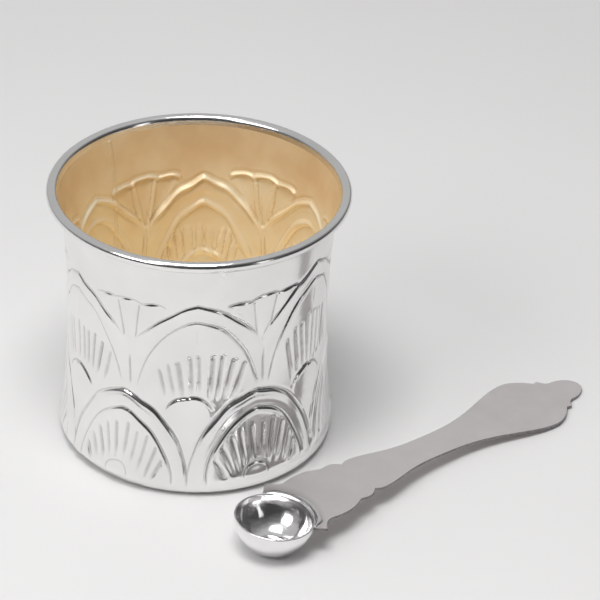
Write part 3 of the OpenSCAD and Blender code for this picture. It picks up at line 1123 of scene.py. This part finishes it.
def half_outline():
    """One side of the handle, from its horn to its tip."""
    line = settle(HORN_TIP, HOLLOW)
    line += hump(HOLLOW, FIRST_NOTCH, FIRST_CREST_HALF)
    line += hump(FIRST_NOTCH, SECOND_NOTCH, SECOND_CREST_HALF)
    line += settle(SECOND_NOTCH, LAST_CREST)
    line += [LAST_CREST] + taper(NECK, LAST_CREST)[:0:-1]
    line += taper(NECK, LEAF)
    line += run_between(LEAF, LEAF_NOTCH, lambda u: u * u)
    line += [LEAF_NOTCH]
    line += settle(BARB, TIP)
    for step in range(CURVE_STEPS):
        a = math.pi / 2 * step / CURVE_STEPS
        line.append((TIP[0] + TIP_LENGTH * math.sin(a), TIP[1] * math.cos(a)))
    return line


def middle_at(along):
    """Distance of the handle's middle from the bowl's centre."""
    u = min(1.0, max(0.0, (along - HORN_TIP[0]) / (FIRST_NOTCH[0] - HORN_TIP[0])))
    return HORN_OFFSET + (BOWL_OFFSET - HORN_OFFSET) * u


def horn_angle(tip, side):
    """Angle at which a horn's end edge, drawn from beside the bowl's centre to the tip, leaves the bowl."""
    root_half = HORN_TIP[1] - HORN_TIP[0] * math.tan(math.radians(HORN_SLOPE))
    start = np.array((0.0, HORN_OFFSET + side * root_half))
    edge = np.array(tip) - start
    root = start + edge * halved(lambda u: np.hypot(*(start + edge * u)) < BOWL_R, 0.0, 1.0)
    return math.atan2(root[1], root[0])


half_line = half_outline()
upper_line = [(s, middle_at(s) + w) for s, w in half_line]
lower_line = [(s, middle_at(s) - w) for s, w in half_line]
angle_up = horn_angle(upper_line[0], 1)
angle_down = horn_angle(lower_line[0], -1)


def inward_from(outline):
    """Step of 1 inwards at each point of an outline, or less where it folds back sharply."""
    edge_in = outline - np.roll(outline, 1, 0)
    edge_out = np.roll(outline, -1, 0) - outline
    edge_in /= np.linalg.norm(edge_in, axis=1)[:, None]
    edge_out /= np.linalg.norm(edge_out, axis=1)[:, None]
    inward = np.stack([edge_in[:, 1] + edge_out[:, 1], -edge_in[:, 0] - edge_out[:, 0]], -1)
    return inward / np.clip(np.linalg.norm(inward, axis=1), SHARPEST_FOLD, None)[:, None]


def ladle_handle():
    """Flat plate cut to a scalloped outline, with its edges eased."""
    clasp = arc((0.0, 0.0), BOWL_R, math.degrees(angle_down), math.degrees(angle_up), CLASP_STEPS + 1)
    tip_point = (TIP[0] + TIP_LENGTH, BOWL_OFFSET)
    outline = np.array(clasp.tolist() + upper_line + [tip_point] + lower_line[::-1])
    inward = inward_from(outline)
    levels = []
    for step in range(EDGE_STEPS + 1):
        a = math.pi / 2 * step / EDGE_STEPS
        levels.append((PLATE_EDGE * (1 - math.sin(a)), -PLATE_EDGE * (1 - math.cos(a))))
    levels += [(inset, -PLATE_SHEET - z) for inset, z in levels[::-1]]
    count = len(outline)
    rings = [np.column_stack([outline + inward * inset, np.full(count, z)]) for inset, z in levels]
    handle = new_piece("ladle_handle", rings, capped_faces(len(levels), count), "spoon",
                       ["spoon_handle"], [shaded_cut_edge(), plate_silver()], spoon_place)
    for face in handle.data.polygons:
        if face.loop_total > 4:
            face.use_smooth = False
            face.material_index = 1


def ladle_solder():
    """A crescent of solder that runs up against the back of the bowl."""
    outer_r = BOWL_R + (BOWL_FILLET_WIDTH + BOWL_FILLET_END) / 2
    shift = (BOWL_FILLET_WIDTH - BOWL_FILLET_END) / 2
    sweep = np.linspace(angle_down + BEAD_INSET, angle_up - BEAD_INSET, BEAD_STEPS)
    outer_reach = shift * np.cos(sweep) + np.sqrt(outer_r**2 - (shift * np.sin(sweep)) ** 2)
    ends = within(sweep, sweep[0], BEAD_ENDS_OVER, sweep[-1], BEAD_ENDS_OVER)
    full_width = (outer_reach - BOWL_R) * (BEAD_END_WIDTH + (1 - BEAD_END_WIDTH) * ends)
    bead_height = BOWL_FILLET_HEIGHT * (BEAD_END_HEIGHT + (1 - BEAD_END_HEIGHT) * ends)
    section = []
    for u in np.linspace(0, 1, BEAD_ACROSS):
        swell = math.sin(math.pi * (BEAD_START + (1 - BEAD_START) * u))
        section.append((u, bead_height * max(0.0, swell) ** BEAD_POWER))
    section += [(u, np.full(len(sweep), -BOWL_FILLET_SINK)) for u in (1.0, 0.0)]
    rows = []
    for u, z in section:
        reach = BOWL_R - BOWL_FILLET_SINK + (full_width + BOWL_FILLET_SINK) * u
        rows.append(np.stack([reach * np.cos(sweep), reach * np.sin(sweep), z], -1))
    rings = np.stack(rows, 1)
    new_piece("ladle_solder", rings, capped_faces(len(sweep), len(rows)), "spoon",
              ["spoon_solder"], [solder_silver()], spoon_place)


ladle_bowl()
ladle_handle()
ladle_solder()

# Floor and light, in metres
FLOOR_HALF = 4.0
FLOOR_Z = -0.00005
SKY_LEAN = (-0.25, 0.7, 1.0)
SKY = ((0.0, 0.05), (0.2, 0.1), (0.45, 0.2), (0.7, 0.42), (0.85, 0.5), (1.0, 0.48))
LAMP_AIM = Vector((0, 0, 0.03))


def lay_floor():
    corners = ((-1, -1), (1, -1), (1, 1), (-1, 1))
    mesh = bpy.data.meshes.new("floor")
    mesh.from_pydata([(x * FLOOR_HALF, y * FLOOR_HALF, FLOOR_Z) for x, y in corners], [], [(0, 1, 2, 3)])
    mesh.materials.append(floor_paper())
    floor = bpy.data.objects.new("floor", mesh)
    bpy.context.scene.collection.objects.link(floor)


def hang_sky():
    """A sky that is dark low down in front and brighter behind and above."""
    world = bpy.data.worlds.new("studio")
    bpy.context.scene.world = world
    world.use_nodes = True
    tree = world.node_tree
    background = tree.nodes["Background"]
    background.inputs["Strength"].default_value = 1.0
    where = tree.nodes.new("ShaderNodeTexCoord")
    lean = tree.nodes.new("ShaderNodeVectorMath")
    lean.operation = "DOT_PRODUCT"
    lean.inputs[1].default_value = SKY_LEAN
    ramp = tree.nodes.new("ShaderNodeValToRGB")
    set_stops(ramp, [(at, (level, level, level)) for at, level in SKY])
    tree.links.new(where.outputs["Generated"], lean.inputs[0])
    tree.links.new(lean.outputs["Value"], ramp.inputs["Fac"])
    tree.links.new(ramp.outputs["Color"], background.inputs["Color"])


def soft_box(name, place, size, power):
    lamp = bpy.data.lights.new(name, "AREA")
    lamp.shape = "RECTANGLE"
    lamp.size = size[0]
    lamp.size_y = size[1]
    lamp.energy = power
    lamp_object = bpy.data.objects.new(name, lamp)
    lamp_object.location = place
    lamp_object.rotation_euler = (LAMP_AIM - Vector(place)).to_track_quat("-Z", "Y").to_euler()
    bpy.context.scene.collection.objects.link(lamp_object)


lay_floor()
hang_sky()
soft_box("key", (-0.45, -0.4, 0.55), (0.4, 0.3), 1.4)
soft_box("top", (-0.05, -0.24, 0.85), (0.4, 0.3), 3.9)
soft_box("fill", (0.7, -0.65, 0.3), (0.16, 0.5), 0.3)

# Camera fitted to the photograph, in pixels and millimetres: the cup's middle falls on AIM_PIXEL
PICTURE = 600
FOCAL = 4013.0
CAMERA_DISTANCE = 1012.9
CAMERA_RISE = math.radians(31.96)
CAMERA_ROLL = math.radians(0.83)
AIM_HEIGHT = 35.14
AIM_PIXEL = (197.64, 305.31)


def set_camera():
    data = bpy.data.cameras.new("camera")
    data.sensor_width = 36.0
    data.lens = data.sensor_width * FOCAL / PICTURE
    data.clip_start = 0.05
    data.clip_end = 20.0
    ahead = Vector((0, math.cos(CAMERA_RISE), -math.sin(CAMERA_RISE)))
    spot = Vector((0, 0, AIM_HEIGHT)) * MM - ahead * CAMERA_DISTANCE * MM
    level = Vector((1, 0, 0))
    upright = level.cross(ahead)
    right = level * math.cos(CAMERA_ROLL) + upright * math.sin(CAMERA_ROLL)
    up = upright * math.cos(CAMERA_ROLL) - level * math.sin(CAMERA_ROLL)
    ahead = ahead + right * ((PICTURE / 2 - AIM_PIXEL[0]) / FOCAL)
    ahead = ahead + up * ((AIM_PIXEL[1] - PICTURE / 2) / FOCAL)
    ahead.normalize()
    right = (right - ahead * right.dot(ahead)).normalized()
    up = right.cross(ahead)
    camera = bpy.data.objects.new("camera", data)
    camera.matrix_world = Matrix.Translation(spot) @ Matrix((right, up, -ahead)).transposed().to_4x4()
    bpy.context.scene.collection.objects.link(camera)
    bpy.context.scene.camera = camera


set_camera()
bpy.context.scene.view_settings.view_transform = "Standard"
